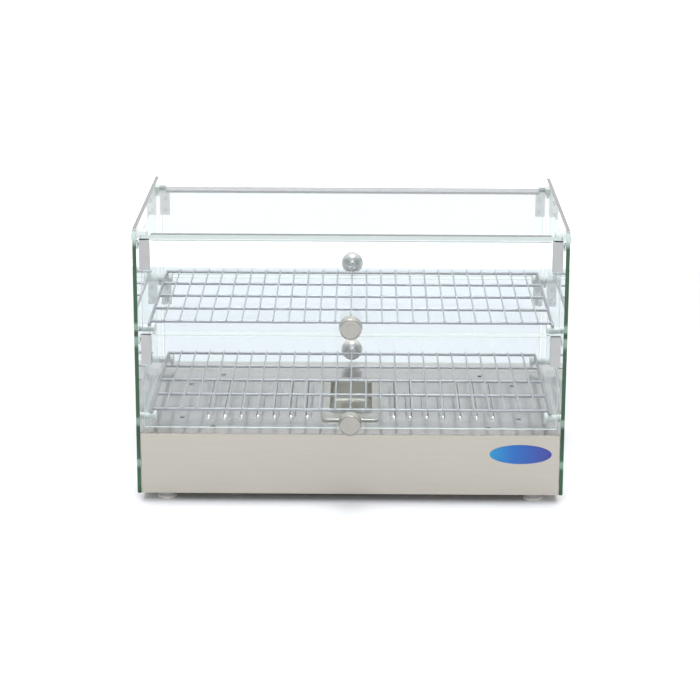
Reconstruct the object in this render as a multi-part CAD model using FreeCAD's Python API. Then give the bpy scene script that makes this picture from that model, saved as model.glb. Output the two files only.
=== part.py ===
import FreeCAD, Part
import math
import os

# Countertop heated display case: glass cabinet on a stainless base, two wire
# shelves, four top-hung flap doors, a water tray and a heater under the deck.
# Millimetres. +X right, +Y to the rear, +Z up. Origin: centre of the whole
# object's footprint, on the surface that the feet stand on.

V = FreeCAD.Vector
X_AXIS = V(1, 0, 0)
Y_AXIS = V(0, 1, 0)
Z_AXIS = V(0, 0, 1)
SIDES = (-1, 1)

# ---- overall size ----
HEIGHT = 361.0              # feet to the top edges of the side glasses
FRONT = -160.0              # front edge of the side glasses
REAR = 180.0                # rear edge of the side glasses
KNOB_TIP_Y = -188.0         # front door knobs, foremost point
DIAL_TIP_Y = 188.0          # thermostat knob, rearmost point
GLASS = 5.0                 # all panes
SIDE_OUT = 275.0            # half width over the side glasses
SIDE_IN = SIDE_OUT - GLASS
CAP_OUT = 277.0             # half width over the bolt caps
SIDE_CORNER_R = 9.0
FOOT_H = 11.0

# ---- base ----
BASE_HALF_W = 269.6
SHEET = 1.0
BASE_BOTTOM = FOOT_H
DECK_TOP = 92.0
BASE_FRONT = FRONT + 0.5
REAR_PANEL_Y = 168.0        # outer face of the recessed rear panel
FLANGE = 16.0
BASE_SCREW_HOLE_R = 2.1
DECK_SCREW_HOLE_R = 1.7
VENT_W = 3.0
FOOT_X = 238.0
FOOT_Y = (FRONT + 20.0, FRONT + 320.0)
FOOT_R = 12.5
FOOT_HOLE_R = 2.2

# ---- louvres in the deck ----
LOUVRE_FIRST_X = 57.5
LOUVRE_PITCH = 21.7
LOUVRE_COUNT = 7
LOUVRE_W = 7.0
LOUVRE_H = 3.5
LOUVRE_SKIN = 0.8
LOUVRE_Y = (FRONT + 77.0, FRONT + 236.0)

# ---- water tray ----
TRAY_X = 37.5
TRAY_Y = (FRONT + 57.0, FRONT + 250.0)
PAN_X = 29.0
PAN_Y = (FRONT + 82.0, FRONT + 241.0)
PAN_BOTTOM = 64.0
PAN_CORNER_R = 10.0
RIM_TOP = 95.0
RIM_CORNER_R = 8.0
TRAY_SHEET = 0.8

# ---- panes ----
PANE_HALF_W = 265.0
TOP_PANE_Z = 347.5
TOP_PANE_Y = (FRONT + 3.0, FRONT + 303.0)
FRONT_DOOR_Y = FRONT + 6.5  # middle plane of the front doors
REAR_DOOR_Y = FRONT + 312.5
UPPER_DOOR_Z = (225.0, 345.0)
LOWER_DOOR_Z = (98.5, 221.0)
KNOB_ABOVE_EDGE = 13.5
KNOB_HOLE_R = 3.0
KNOB_BALL_R = 15.0
ARRIS = 0.5                 # ground chamfer on pane edges

# ---- door hinges ----
HINGE_X = (254.0, 267.0)
HINGE_T = 1.2
HINGE_H = 38.0
PIVOT_DROP = 6.0            # pivot axis below the top edge of the door glass
PIN_R = 2.0
BUSH_BORE_R = 2.05
BUSH_R = 3.9
BUSH_HOLE_R = 4.0
BUSH_FLANGE_R = 5.5
BUSH_FLANGE_T = 1.7
HINGE_SCREW_R = 3.0
HINGE_SCREW_T = 2.0

# ---- shelves ----
WIRE_R = 2.0
CROSS_R = 1.1
SHELF_HALF_W = 258.0
SHELF_Z = {"upper": 230.9, "lower": 113.0}
LONG_WIRES = 5
LONG_FIRST_Y = FRONT + 39.8
LONG_PITCH = 66.4
END_WIRE_FRONT = FRONT + 27.5
CROSS_WIRES = 25
CROSS_PITCH = 20.0
WELD_SINK = 0.35

# ---- shelf pegs ----
PEG_R = 4.5
PEG_HEAD_R = 7.5
PEG_HEAD_X = (250.5, 254.5)
PEG_Y = (FRONT + 31.0, FRONT + 296.0)
PEG_GAP = 0.3               # wire to peg

# ---- rails bonded under the front and rear edge of the roof pane ----
FRONT_RAIL_Y = (FRONT + 3.5, FRONT + 17.5)
FRONT_RAIL_Z = 346.0
FRONT_RAIL_HALF_W = 252.5   # ends clear of the hinge clamps of the upper door
REAR_RAIL_Y = (FRONT + 281.0, FRONT + 303.0)
REAR_RAIL_Z = 344.3
REAR_RAIL_HALF_W = SIDE_IN - 0.2

# ---- glass fixings ----
CLAMP_BOLT_Z = 350.0
CLAMP_BOLT_Y = (FRONT + 8.0, FRONT + 295.0)
BASE_SCREW_Z = 53.0
BASE_SCREW_Y = (FRONT + 20.0, FRONT + 320.0)
BOLT_HOLE_R = 2.6
SCREW_R = 2.0
SINK_R = 5.0                # countersunk head at the outer face of the glass
SINK_DEPTH = 3.0
CAP_R = 6.5
CAP_BOSS_R = 5.4            # boss of a cap bolt inside the glass
CAP_HOLE_R = 5.5
CLAMP_IN_X = 257.0          # inner end of a roof clamp
CLAMP_JAW_T = 4.0
CLAMP_LEDGE_T = 2.0
CLAMP_HALF_Y = 6.0
CLAMP_LEDGE_Y = (8.0, 16.0)  # from the bolt, along Y

# ---- controls on the rear panel ----
PANEL_Z = 50.0              # height of the switch, lamp and dial
SWITCH_X = 205.0
LAMP_X = 172.0
DIAL_X = 128.0
GLAND_X = -205.0
GLAND_Z = 38.0
VENT_X = -120.0
VENT_COUNT = 15
VENT_PITCH = 9.0
VENT_Z = (34.0, 68.0)
ROCKER_TILT = 8.0
ROCKER_PIVOT_Y = REAR_PANEL_Y - 1.0

# ---- heating ----
HEATER_R = 3.25
HEATER_Z = 58.0
HEATER_X = (78.0, 166.0)
HEATER_Y = (FRONT + 90.0, FRONT + 262.0)
HEATER_BEND_R = 22.0
SHIELD_Z = 24.0
SHIELD_HALF_W = 200.0
SHIELD_Y = (FRONT + 60.0, FRONT + 275.0)
SHIELD_WALL_H = 16.0


# ---------------------------------------------------------------- helpers

def box(x0, x1, y0, y1, z0, z1):
    """Axis-aligned block between two corners."""
    corner = V(min(x0, x1), min(y0, y1), min(z0, z1))
    return Part.makeBox(abs(x1 - x0), abs(y1 - y0), abs(z1 - z0), corner)


def rod_x(x0, x1, y, z, r):
    """Cylinder along X."""
    return Part.makeCylinder(r, abs(x1 - x0), V(min(x0, x1), y, z), X_AXIS)


def rod_y(x, y0, y1, z, r):
    """Cylinder along Y."""
    return Part.makeCylinder(r, abs(y1 - y0), V(x, min(y0, y1), z), Y_AXIS)


def rod_z(x, y, z0, z1, r):
    """Cylinder along Z."""
    return Part.makeCylinder(r, abs(z1 - z0), V(x, y, min(z0, z1)), Z_AXIS)


def fuse(shapes):
    """One solid from several touching or overlapping ones."""
    return shapes[0].multiFuse(shapes[1:]).removeSplitter()


def edges_along(shape, axis, test=None):
    """Straight edges parallel to an axis, filtered by their midpoint."""
    found = []
    for edge in shape.Edges:
        if len(edge.Vertexes) != 2:
            continue
        run = edge.Vertexes[1].Point - edge.Vertexes[0].Point
        if run.Length < 1e-6 or abs(abs(run.dot(axis)) / run.Length - 1) > 1e-6:
            continue
        middle = (edge.Vertexes[0].Point + edge.Vertexes[1].Point) * 0.5
        if test is None or test(middle):
            found.append(edge)
    return found


def mirror_x(shape):
    """The same part on the other side of the case."""
    return shape.mirror(V(0, 0, 0), X_AXIS)


def revolve_y(points, x, y, z, outward):
    """Turned part: (radius, distance) points about a line along Y."""
    verts = [V(r, d * outward, 0) for r, d in points]
    face = Part.Face(Part.makePolygon(verts + [verts[0]]))
    solid = face.revolve(V(0, 0, 0), Y_AXIS, 360)
    solid.translate(V(x, y, z))
    return solid


def tube(points, r, bend):
    """Round rod or wire along straight runs joined by tangent arcs."""
    edges = []
    last = points[0]
    for before, corner, after in zip(points, points[1:], points[2:]):
        into = (corner - before).normalize()
        out = (after - corner).normalize()
        turn = into.getAngle(out)
        reach = bend * math.tan(turn / 2)
        start = corner - into * reach
        end = corner + out * reach
        inward = (out - into).normalize()
        middle = corner + inward * (bend / math.cos(turn / 2) - bend)
        edges.append(Part.makeLine(last, start))
        edges.append(Part.Arc(start, middle, end).toShape())
        last = end
    edges.append(Part.makeLine(last, points[-1]))
    path = Part.Wire(edges)
    heading = points[1] - points[0]
    profile = Part.Wire(Part.makeCircle(r, points[0], heading))
    return path.makePipeShell([profile], True, True)


def save(node, parts):
    """Write one node: a single solid, or a group of separate ones."""
    shapes = parts if isinstance(parts, list) else [parts]
    solids = [solid for shape in shapes for solid in shape.Solids]
    shape = solids[0] if len(solids) == 1 else Part.makeCompound(solids)
    shape.exportStep("parts/" + node + ".step")
    print("%-28s %2d solids  valid %s" % (node, len(solids), shape.isValid()))


# ---------------------------------------------------------------- glass

def pivot_points():
    """(y, z) of the four door axes."""
    points = []
    for y in (FRONT_DOOR_Y, REAR_DOOR_Y):
        for z_range in (UPPER_DOOR_Z, LOWER_DOOR_Z):
            points.append((y, z_range[1] - PIVOT_DROP))
    return points


def peg_points():
    """(y, z) of the shelf pegs on one side."""
    drop = WIRE_R + PEG_GAP + PEG_R
    return [(y, z - drop) for z in SHELF_Z.values() for y in PEG_Y]


def clamp_points():
    """(y, z) of the cap bolts of the roof clamps on one side."""
    return [(y, CLAMP_BOLT_Z) for y in CLAMP_BOLT_Y]


def base_points():
    """(y, z) of the screws from one side glass into the base."""
    return [(y, BASE_SCREW_Z) for y in BASE_SCREW_Y]


def countersink(y, z, grow):
    """Cone under a flush screw head in a right-hand side glass."""
    base = V(SIDE_OUT - SINK_DEPTH, y, z)
    return Part.makeCone(SCREW_R + grow, SINK_R + grow, SINK_DEPTH, base, X_AXIS)


def side_glass():
    """Right-hand side pane with its drilled holes and ground edges."""
    pane = box(SIDE_IN, SIDE_OUT, FRONT, REAR, FOOT_H, HEIGHT)
    corners = edges_along(pane, X_AXIS, lambda m: m.z > FOOT_H + 1)
    pane = pane.makeFillet(SIDE_CORNER_R, corners)
    rim = [e for e in pane.Edges if abs(e.BoundBox.XLength) < 1e-6]
    pane = pane.makeChamfer(ARRIS, rim)
    holes = [rod_x(SIDE_IN - 1, SIDE_OUT + 1, y, z, BUSH_HOLE_R) for y, z in pivot_points()]
    for y, z in peg_points() + base_points():
        holes.append(rod_x(SIDE_IN - 1, SIDE_OUT + 1, y, z, BOLT_HOLE_R))
        holes.append(countersink(y, z, 0.1))
    holes += [rod_x(SIDE_IN - 1, SIDE_OUT + 1, y, z, CAP_HOLE_R) for y, z in clamp_points()]
    return pane.cut(Part.makeCompound(holes))


def top_glass():
    """Roof pane with ground edges."""
    pane = box(-PANE_HALF_W, PANE_HALF_W, *TOP_PANE_Y, TOP_PANE_Z, TOP_PANE_Z + GLASS)
    return pane.makeChamfer(ARRIS, pane.Edges)


def door_glass(y_mid, z_range):
    """Door pane with ground edges and the knob's hole."""
    half = GLASS / 2
    pane = box(-PANE_HALF_W, PANE_HALF_W, y_mid - half, y_mid + half, *z_range)
    pane = pane.makeChamfer(ARRIS, pane.Edges)
    return pane.cut(rod_y(0, y_mid - GLASS, y_mid + GLASS, z_range[0] + KNOB_ABOVE_EDGE, KNOB_HOLE_R))


# ---------------------------------------------------------------- door hardware

def hinge_clamp(y_mid, z_top):
    """Right-hand clamp folded over a door's top corner, with its pivot pin."""
    half = GLASS / 2
    wide = half + HINGE_T
    x0, x1 = HINGE_X
    outer = box(x0, x1, y_mid - wide, y_mid + wide, z_top - HINGE_H, z_top + HINGE_T)
    outer = outer.makeFillet(1.0, edges_along(outer, X_AXIS, lambda m: m.z > z_top))
    slot = box(x0 - 1, PANE_HALF_W + 0.3, y_mid - half, y_mid + half, z_top - HINGE_H - 1, z_top)
    pin = rod_x(x1 - 0.5, SIDE_OUT - 0.4, y_mid, z_top - PIVOT_DROP, PIN_R)
    return fuse([outer.cut(slot), pin])


def hinge_screws(y_mid, z_top, inward):
    """Two pan-head screws on the inner plate of a right-hand clamp."""
    x = (HINGE_X[0] + PANE_HALF_W) / 2
    face = y_mid + inward * (GLASS / 2 + HINGE_T)
    screws = []
    for z in (z_top - HINGE_H + 7.0, z_top - 14.0):
        head = rod_y(x, face, face + inward * HINGE_SCREW_T, z, HINGE_SCREW_R)
        recess = rod_y(x, face + inward * HINGE_SCREW_T / 2, face + inward * 3.0, z, 1.3)
        screws.append(head.cut(recess))
    return screws


def pivot_bush(y, z):
    """Flanged plastic bush in a right-hand side glass."""
    barrel = rod_x(SIDE_IN, SIDE_OUT, y, z, BUSH_R)
    flange = rod_x(SIDE_IN - BUSH_FLANGE_T, SIDE_IN, y, z, BUSH_FLANGE_R)
    bore = rod_x(SIDE_IN - 3, SIDE_OUT + 1, y, z, BUSH_BORE_R)
    return fuse([barrel, flange]).cut(bore)


def door_knob(y_face, z, outward):
    """Turned knob: short neck, ball body, broad flat face in a low rim."""
    reach = abs(KNOB_TIP_Y - (FRONT_DOOR_Y - GLASS / 2))
    centre = reach - 12.5
    profile = [(2.6, 0.3), (6.5, 0.3), (6.5, 3.0), (5.4, 4.2), (5.4, 5.4)]
    for step in range(8):
        angle = math.radians(-58 + step * 10.0)
        profile.append((KNOB_BALL_R * math.cos(angle), centre + KNOB_BALL_R * math.sin(angle)))
    profile += [(14.3, reach - 6.5), (13.9, reach - 3.5), (13.4, reach - 1.2), (12.6, reach)]
    profile += [(12.2, reach), (11.8, reach - 0.4), (0.0, reach - 0.1), (0.0, 14.0), (2.6, 14.0)]
    return revolve_y(profile, 0, y_face, z, outward)


def knob_screw(y_face, z, inward):
    """Screw with a dome head and washer on the inside of the door."""
    washer = [(2.4, 0.0), (7.0, 0.0), (7.0, 0.5), (5.0, 0.6)]
    head = [(4.6, 1.2), (3.4, 1.6), (1.5, 1.6), (1.5, 0.8), (0.0, 0.8)]
    shank = [(0.0, -18.0), (2.4, -18.0)]
    return revolve_y(washer + head + shank, 0, y_face, z, inward)


# ---------------------------------------------------------------- roof fixings

def corner_clamp(y_bolt, inboard):
    """Right-hand clamp that holds a corner of the roof pane."""
    x0 = PANE_HALF_W + 0.3
    bottom = TOP_PANE_Z - CLAMP_LEDGE_T
    roof = TOP_PANE_Z + GLASS
    top = roof + CLAMP_JAW_T
    y0, y1 = y_bolt - CLAMP_HALF_Y, y_bolt + CLAMP_HALF_Y
    y2, y3 = (y_bolt + inboard * reach for reach in CLAMP_LEDGE_Y)
    back = box(x0, SIDE_IN, y0, y1, TOP_PANE_Z, top)
    jaw = box(CLAMP_IN_X, SIDE_IN, y0, y1, roof, top)
    web = box(x0, SIDE_IN, y_bolt + inboard * CLAMP_HALF_Y, y3, bottom, top)
    ledge = box(CLAMP_IN_X, SIDE_IN, y2, y3, bottom, TOP_PANE_Z)
    body = fuse([back, jaw, web, ledge])
    rounded = edges_along(body, Y_AXIS, lambda m: m.z > top - 0.1 and m.x < CLAMP_IN_X + 1)
    body = body.makeFillet(1.5, rounded)
    return body.cut(rod_x(PANE_HALF_W, SIDE_IN + 1, y_bolt, CLAMP_BOLT_Z, 2.0))


def cap_bolt(y, z):
    """Right-hand bolt with a round polished cap on the outside of the glass."""
    cap = rod_x(SIDE_OUT, CAP_OUT, y, z, CAP_R)
    cap = cap.makeFillet(1.2, [e for e in cap.Edges if e.BoundBox.XMin > CAP_OUT - 0.01])
    boss = rod_x(SIDE_IN, SIDE_OUT, y, z, CAP_BOSS_R)
    shank = rod_x(PANE_HALF_W + 0.7, SIDE_IN, y, z, 1.9)
    return fuse([cap, boss, shank])


def roof_rail(half, y_range, z0):
    """Flat bar along the roof pane, with broken lower edges."""
    bar = box(-half, half, *y_range, z0, TOP_PANE_Z)
    return bar.makeChamfer(0.4, edges_along(bar, X_AXIS, lambda m: m.z < TOP_PANE_Z - 1))


def rear_top_rail():
    """Bar between the side glasses, notched round the roof clamps' ledges."""
    bar = roof_rail(REAR_RAIL_HALF_W, REAR_RAIL_Y, REAR_RAIL_Z)
    y_end = CLAMP_BOLT_Y[1] - CLAMP_HALF_Y + 0.2
    notches = []
    for side in SIDES:
        x0, x1 = side * (CLAMP_IN_X - 0.5), side * SIDE_IN
        notches.append(box(x0, x1, REAR_RAIL_Y[0] - 1, y_end, REAR_RAIL_Z - 1, TOP_PANE_Z + 1))
    return bar.cut(Part.makeCompound(notches))


# ---------------------------------------------------------------- shelves

def wire_shelf(z):
    """Welded wire shelf: five long wires, two end wires, thin cross wires."""
    long_y = [LONG_FIRST_Y + i * LONG_PITCH for i in range(LONG_WIRES)]
    wires = [rod_x(-SHELF_HALF_W, SHELF_HALF_W, y, z, WIRE_R) for y in long_y]
    for side in SIDES:
        x = side * SHELF_HALF_W
        wires.append(rod_y(x, END_WIRE_FRONT, long_y[-1], z, WIRE_R))
        wires += [Part.makeSphere(WIRE_R, V(x, y, z)) for y in [END_WIRE_FRONT] + long_y]
    cross_z = z + WIRE_R + CROSS_R - WELD_SINK
    first = -CROSS_PITCH * (CROSS_WIRES - 1) / 2
    y0, y1 = long_y[0] - WIRE_R, long_y[-1] + WIRE_R
    for i in range(CROSS_WIRES):
        wires.append(rod_y(first + i * CROSS_PITCH, y0, y1, cross_z, CROSS_R))
    return wires[0].multiFuse(wires[1:])


def shelf_peg(y, z):
    """Right-hand peg: neck that carries the shelf, with a retaining head."""
    neck = rod_x(PEG_HEAD_X[1], SIDE_IN, y, z, PEG_R)
    head = rod_x(PEG_HEAD_X[0], PEG_HEAD_X[1], y, z, PEG_HEAD_R)
    head = head.makeFillet(1.0, [e for e in head.Edges if e.BoundBox.XMax < PEG_HEAD_X[0] + 0.01])
    return fuse([neck, head]).cut(rod_x(SIDE_IN - 9, SIDE_IN + 1, y, z, 2.1))


def flush_screw(y, z, depth):
    """Right-hand countersunk screw through the side glass."""
    shank = rod_x(SIDE_OUT - depth, SIDE_OUT - SINK_DEPTH, y, z, SCREW_R)
    socket = rod_x(SIDE_OUT - 1.6, SIDE_OUT + 1, y, z, 1.5)
    return fuse([countersink(y, z, 0), shank]).cut(socket)


# ---------------------------------------------------------------- base

def base_housing():
    """Front and side walls in one folded sheet, with narrow flanges."""
    z0, z1 = BASE_BOTTOM, DECK_TOP - SHEET
    outer = box(-BASE_HALF_W, BASE_HALF_W, BASE_FRONT, REAR, z0, z1)
    outer = outer.makeFillet(1.2, edges_along(outer, Z_AXIS, lambda m: m.y < 0))
    wall = SHEET
    inner_w = BASE_HALF_W - wall
    inner = box(-inner_w, inner_w, BASE_FRONT + wall, REAR + 1, z0 + wall, z1 - wall)
    mouth_w = BASE_HALF_W - FLANGE
    mouth = box(-mouth_w, mouth_w, BASE_FRONT + FLANGE, REAR + 1, z0 - 1, z1 + 1)
    shell = outer.cut(inner).cut(mouth)
    holes = []
    for y, z in base_points():
        holes.append(rod_x(-BASE_HALF_W - 1, BASE_HALF_W + 1, y, z, BASE_SCREW_HOLE_R))
    for x, y in deck_screw_points():
        holes.append(rod_z(x, y, z1 - 3, z1 + 1, DECK_SCREW_HOLE_R))
    return shell.cut(Part.makeCompound(holes))


def rear_panel():
    """Recessed rear panel with its control cut-outs and folded edges."""
    y1 = REAR_PANEL_Y
    half = BASE_HALF_W - SHEET - 0.3
    z0, z1 = BASE_BOTTOM + SHEET + 0.1, DECK_TOP - 2 * SHEET - 0.1
    face = box(-half, half, y1 - SHEET, y1, z0, z1)
    lips = [box(side * half, side * (half - SHEET), y1 - 12, y1, z0, z1) for side in SIDES]
    panel = fuse([face] + lips)
    ya, yb = y1 - 5, y1 + 5
    cuts = [box(SWITCH_X - 10.6, SWITCH_X + 10.6, ya, yb, PANEL_Z - 14.1, PANEL_Z + 14.1)]
    for x, z, r in ((LAMP_X, PANEL_Z, 4.6), (DIAL_X, PANEL_Z, 5.1), (GLAND_X, GLAND_Z, 6.1)):
        cuts.append(rod_y(x, ya, yb, z, r))
    cuts += [rod_x(-half - 1, half + 1, y, z, BASE_SCREW_HOLE_R) for y, z in base_points()]
    for column in range(VENT_COUNT):
        x = VENT_X + column * VENT_PITCH
        slot = box(x - VENT_W / 2, x + VENT_W / 2, ya, yb, *VENT_Z)
        cuts.append(slot.makeFillet(VENT_W / 2 - 0.1, edges_along(slot, Y_AXIS)))
    return panel.cut(Part.makeCompound(cuts))


def bottom_plate():
    """Bottom sheet with air slots."""
    half = BASE_HALF_W - FLANGE + 9
    y0 = BASE_FRONT + FLANGE - 9
    z0 = BASE_BOTTOM + SHEET
    plate = box(-half, half, y0, REAR_PANEL_Y - SHEET - 0.1, z0, z0 + SHEET)
    cuts = []
    for side in SIDES:
        for row in range(9):
            y = -85 + row * 18
            slot = box(side * 70, side * 180, y - VENT_W / 2, y + VENT_W / 2, z0 - 1, z0 + 2)
            cuts.append(slot.makeFillet(VENT_W / 2 - 0.1, edges_along(slot, Z_AXIS)))
    for x, y in foot_points():
        cuts.append(rod_z(x, y, z0 - 1, z0 + 3, FOOT_HOLE_R))
    return plate.cut(Part.makeCompound(cuts))


def louvre(x, outward, grow):
    """Solid under one louvre hood: a round-ended ridge, open on one side."""
    y0, y1 = LOUVRE_Y
    r = (LOUVRE_W ** 2 + LOUVRE_H ** 2) / (2 * LOUVRE_H)
    z = DECK_TOP + LOUVRE_H - r
    ridge = rod_y(x, y0, y1, z, r + grow)
    ends = [Part.makeSphere(r + grow, V(x, y, z)) for y in (y0, y1)]
    reach = LOUVRE_W + 3
    z0, z1 = DECK_TOP - SHEET / 2, DECK_TOP + 2 * LOUVRE_H
    keep = box(x, x - outward * reach, y0 - reach, y1 + reach, z0, z1)
    return ridge.multiFuse(ends).common(keep)


def deck():
    """Cabinet floor with pressed louvres over the heaters and the tray's hole."""
    plate = box(-BASE_HALF_W, BASE_HALF_W, BASE_FRONT, REAR, DECK_TOP - SHEET, DECK_TOP)
    front_edge = edges_along(plate, X_AXIS, lambda m: m.y < 0 and m.z > DECK_TOP - 0.1)
    plate = plate.makeFillet(0.6, front_edge)
    hole = box(-PAN_X - 1, PAN_X + 1, PAN_Y[0] - 1, PAN_Y[1] + 1, DECK_TOP - 3, DECK_TOP + 1)
    plate = plate.cut(hole.makeFillet(PAN_CORNER_R + 1, edges_along(hole, Z_AXIS)))
    hoods = []
    hollows = []
    y0, y1 = LOUVRE_Y
    for side in SIDES:
        for i in range(LOUVRE_COUNT):
            x = side * (LOUVRE_FIRST_X + i * LOUVRE_PITCH)
            hoods.append(louvre(x, side, 0))
            hollows.append(louvre(x, side, -LOUVRE_SKIN))
            hollows.append(box(x, x - side * (LOUVRE_W - 2.2), y0, y1, DECK_TOP - 3, DECK_TOP))
            lip_z = DECK_TOP + LOUVRE_H - LOUVRE_SKIN
            hollows.append(box(x + side, x - side * 0.6, y0 - 1, y1 + 1, DECK_TOP, lip_z))
    plate = plate.multiFuse(hoods).cut(Part.makeCompound(hollows))
    screws = [rod_z(x, y, DECK_TOP - 3, DECK_TOP + 1, DECK_SCREW_HOLE_R) for x, y in deck_screw_points()]
    return plate.cut(Part.makeCompound(screws))


def deck_screw_points():
    """Screws round the heated part of the deck, and along its edges."""
    points = [(0.0, FRONT + 271.0)]
    for side in SIDES:
        points.append((side * 179.0, FRONT + 271.0))
        points.append((side * 221.0, FRONT + 225.0))
        points.append((side * 221.0, FRONT + 73.0))
        points.append((side * 179.0, FRONT + 35.5))
    return points


def deck_screw(x, y):
    """Screw with a low dome head and a straight slot."""
    head = rod_z(x, y, DECK_TOP, DECK_TOP + 1.1, 3.2)
    head = head.makeFillet(0.9, [e for e in head.Edges if e.BoundBox.ZMin > DECK_TOP + 1])
    shank = rod_z(x, y, DECK_TOP - 6, DECK_TOP, 1.5)
    slot = box(x - 4, x + 4, y - 0.4, y + 0.4, DECK_TOP + 0.6, DECK_TOP + 2)
    return fuse([head, shank]).cut(slot)


def tray_block(half, y_range, inset, z0, z1, corner_r):
    """Block with round upright corners, inset on all four sides."""
    block = box(-half + inset, half - inset, y_range[0] + inset, y_range[1] - inset, z0, z1)
    return block.makeFillet(corner_r - inset, edges_along(block, Z_AXIS))


def water_tray():
    """Drawn pan with a raised, turned-down rim and a wider front lip."""
    rim = tray_block(TRAY_X, TRAY_Y, 0, DECK_TOP + 0.3, RIM_TOP, RIM_CORNER_R)
    rim = rim.makeFillet(1.2, [e for e in rim.Edges if e.BoundBox.ZMin > RIM_TOP - 0.01])
    under = tray_block(TRAY_X, TRAY_Y, TRAY_SHEET, DECK_TOP, RIM_TOP - TRAY_SHEET, RIM_CORNER_R)
    pan = tray_block(PAN_X, PAN_Y, 0, PAN_BOTTOM, RIM_TOP - 0.2, PAN_CORNER_R)
    pan = pan.makeFillet(5.0, [e for e in pan.Edges if e.BoundBox.ZMax < PAN_BOTTOM + 0.01])
    floor = PAN_BOTTOM + TRAY_SHEET
    well = tray_block(PAN_X, PAN_Y, TRAY_SHEET, floor, RIM_TOP + 1, PAN_CORNER_R)
    well = well.makeFillet(4.2, [e for e in well.Edges if e.BoundBox.ZMax < floor + 0.01])
    return rim.cut(under).fuse(pan).cut(well)


def badge():
    """Plain oval plate on the front panel, slightly domed at its edge."""
    centre = V(219.5, BASE_FRONT, 66.0)
    oval = Part.Ellipse(V(0, 0, 0), 40.0, 12.8).toShape()
    plate = Part.Face(Part.Wire(oval)).extrude(V(0, 0, 0.9))
    plate = plate.makeChamfer(0.3, [e for e in plate.Edges if e.BoundBox.ZMin > 0.8])
    plate.rotate(V(0, 0, 0), X_AXIS, 90)
    plate.translate(centre)
    return plate


# ---------------------------------------------------------------- feet

def foot_points():
    """(x, y) of the four feet."""
    return [(side * FOOT_X, y) for side in SIDES for y in FOOT_Y]


def foot(x, y):
    """Round foot: rubber disc with a rounded sole, a screw pocket and a boss."""
    disc = rod_z(x, y, 0, FOOT_H, FOOT_R)
    disc = disc.makeFillet(1.5, [e for e in disc.Edges if e.BoundBox.ZMax < 0.01])
    disc = disc.fuse(rod_z(x, y, FOOT_H, FOOT_H + SHEET, 3.3))
    pocket = rod_z(x, y, -1, 4.0, 5.5)
    hole = rod_z(x, y, 3, FOOT_H + 2, FOOT_HOLE_R)
    return disc.cut(pocket).cut(hole)


def foot_screw(x, y):
    """Screw and nut that fasten a foot to the base."""
    head = rod_z(x, y, 1.6, 4.0, 4.2)
    shank = rod_z(x, y, 4.0, BASE_BOTTOM + 2 * SHEET, 2.0)
    nut_z = BASE_BOTTOM + 2 * SHEET
    corners = []
    for i in range(7):
        angle = math.radians(60 * i)
        corners.append(V(x + 4 * math.cos(angle), y + 4 * math.sin(angle), nut_z))
    nut = Part.Face(Part.makePolygon(corners)).extrude(V(0, 0, 3.2))
    slot = box(x - 3.5, x + 3.5, y - 0.5, y + 0.5, 1, 2.6)
    return fuse([head, shank, nut]).cut(slot)


# ---------------------------------------------------------------- heating

def heating_element():
    """Right-hand tubular heater bent to a hairpin, with ceramic ends."""
    x0, x1 = HEATER_X
    y0, y1 = HEATER_Y
    points = [V(x, y, HEATER_Z) for x, y in ((x0, y1), (x0, y0), (x1, y0), (x1, y1))]
    sheath = tube(points, HEATER_R, HEATER_BEND_R)
    ends = []
    for x in HEATER_X:
        ends.append(rod_y(x, y1, y1 + 9, HEATER_Z, 4.5))
        ends.append(rod_y(x, y1 + 9, y1 + 17, HEATER_Z, 2.0))
    return fuse([sheath] + ends)


def heater_bracket(y):
    """Right-hand cross bracket that carries both legs of a heater."""
    z0 = SHIELD_Z + SHEET
    x0, x1 = HEATER_X[0] - 12, HEATER_X[1] + 12
    post = box(x0, x1, y - 0.6, y + 0.6, z0, HEATER_Z + 9)
    foot_flange = box(x0, x1, y - 0.6, y + 10, z0, z0 + 1.2)
    window = box(x0 + 26, x1 - 26, y - 2, y + 2, z0 + 10, HEATER_Z + 20)
    bracket = fuse([post, foot_flange]).cut(window)
    holes = [rod_y(x, y - 2, y + 2, HEATER_Z, HEATER_R + 0.2) for x in HEATER_X]
    return bracket.cut(Part.makeCompound(holes))


def heat_shield():
    """Tray-shaped sheet under the heaters that keeps the bottom plate cool."""
    half = SHIELD_HALF_W
    y0, y1 = SHIELD_Y
    top = SHIELD_Z + SHIELD_WALL_H
    sheet = box(-half, half, y0, y1, SHIELD_Z, SHIELD_Z + SHEET)
    walls = [box(side * half, side * (half - SHEET), y0, y1, SHIELD_Z, top) for side in SIDES]
    walls.append(box(-half, half, y0, y0 + SHEET, SHIELD_Z, top))
    legs = []
    for side in SIDES:
        for y in (y0 + 20, y1 - 20):
            legs.append(rod_z(side * 190, y, BASE_BOTTOM + 2 * SHEET, SHIELD_Z, 4.0))
    return fuse([sheet] + walls + legs)


# ---------------------------------------------------------------- controls

def thermostat():
    """Capillary thermostat behind the rear panel, with its shaft."""
    y1 = REAR_PANEL_Y - SHEET
    body = box(DIAL_X - 17, DIAL_X + 17, y1 - 26, y1 - 0.1, PANEL_Z - 17, PANEL_Z + 17)
    body = body.makeFillet(3, edges_along(body, Y_AXIS))
    collar = rod_y(DIAL_X, y1 - 0.1, REAR_PANEL_Y + 2, PANEL_Z, 5.0)
    shaft = rod_y(DIAL_X, REAR_PANEL_Y + 2, REAR_PANEL_Y + 12, PANEL_Z, 3.0)
    tabs = []
    for x in (DIAL_X - 9, DIAL_X + 8):
        tabs.append(box(x, x + 0.8, y1 - 33, y1 - 26, PANEL_Z - 3, PANEL_Z + 3))
    return fuse([body, collar, shaft] + tabs)


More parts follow.
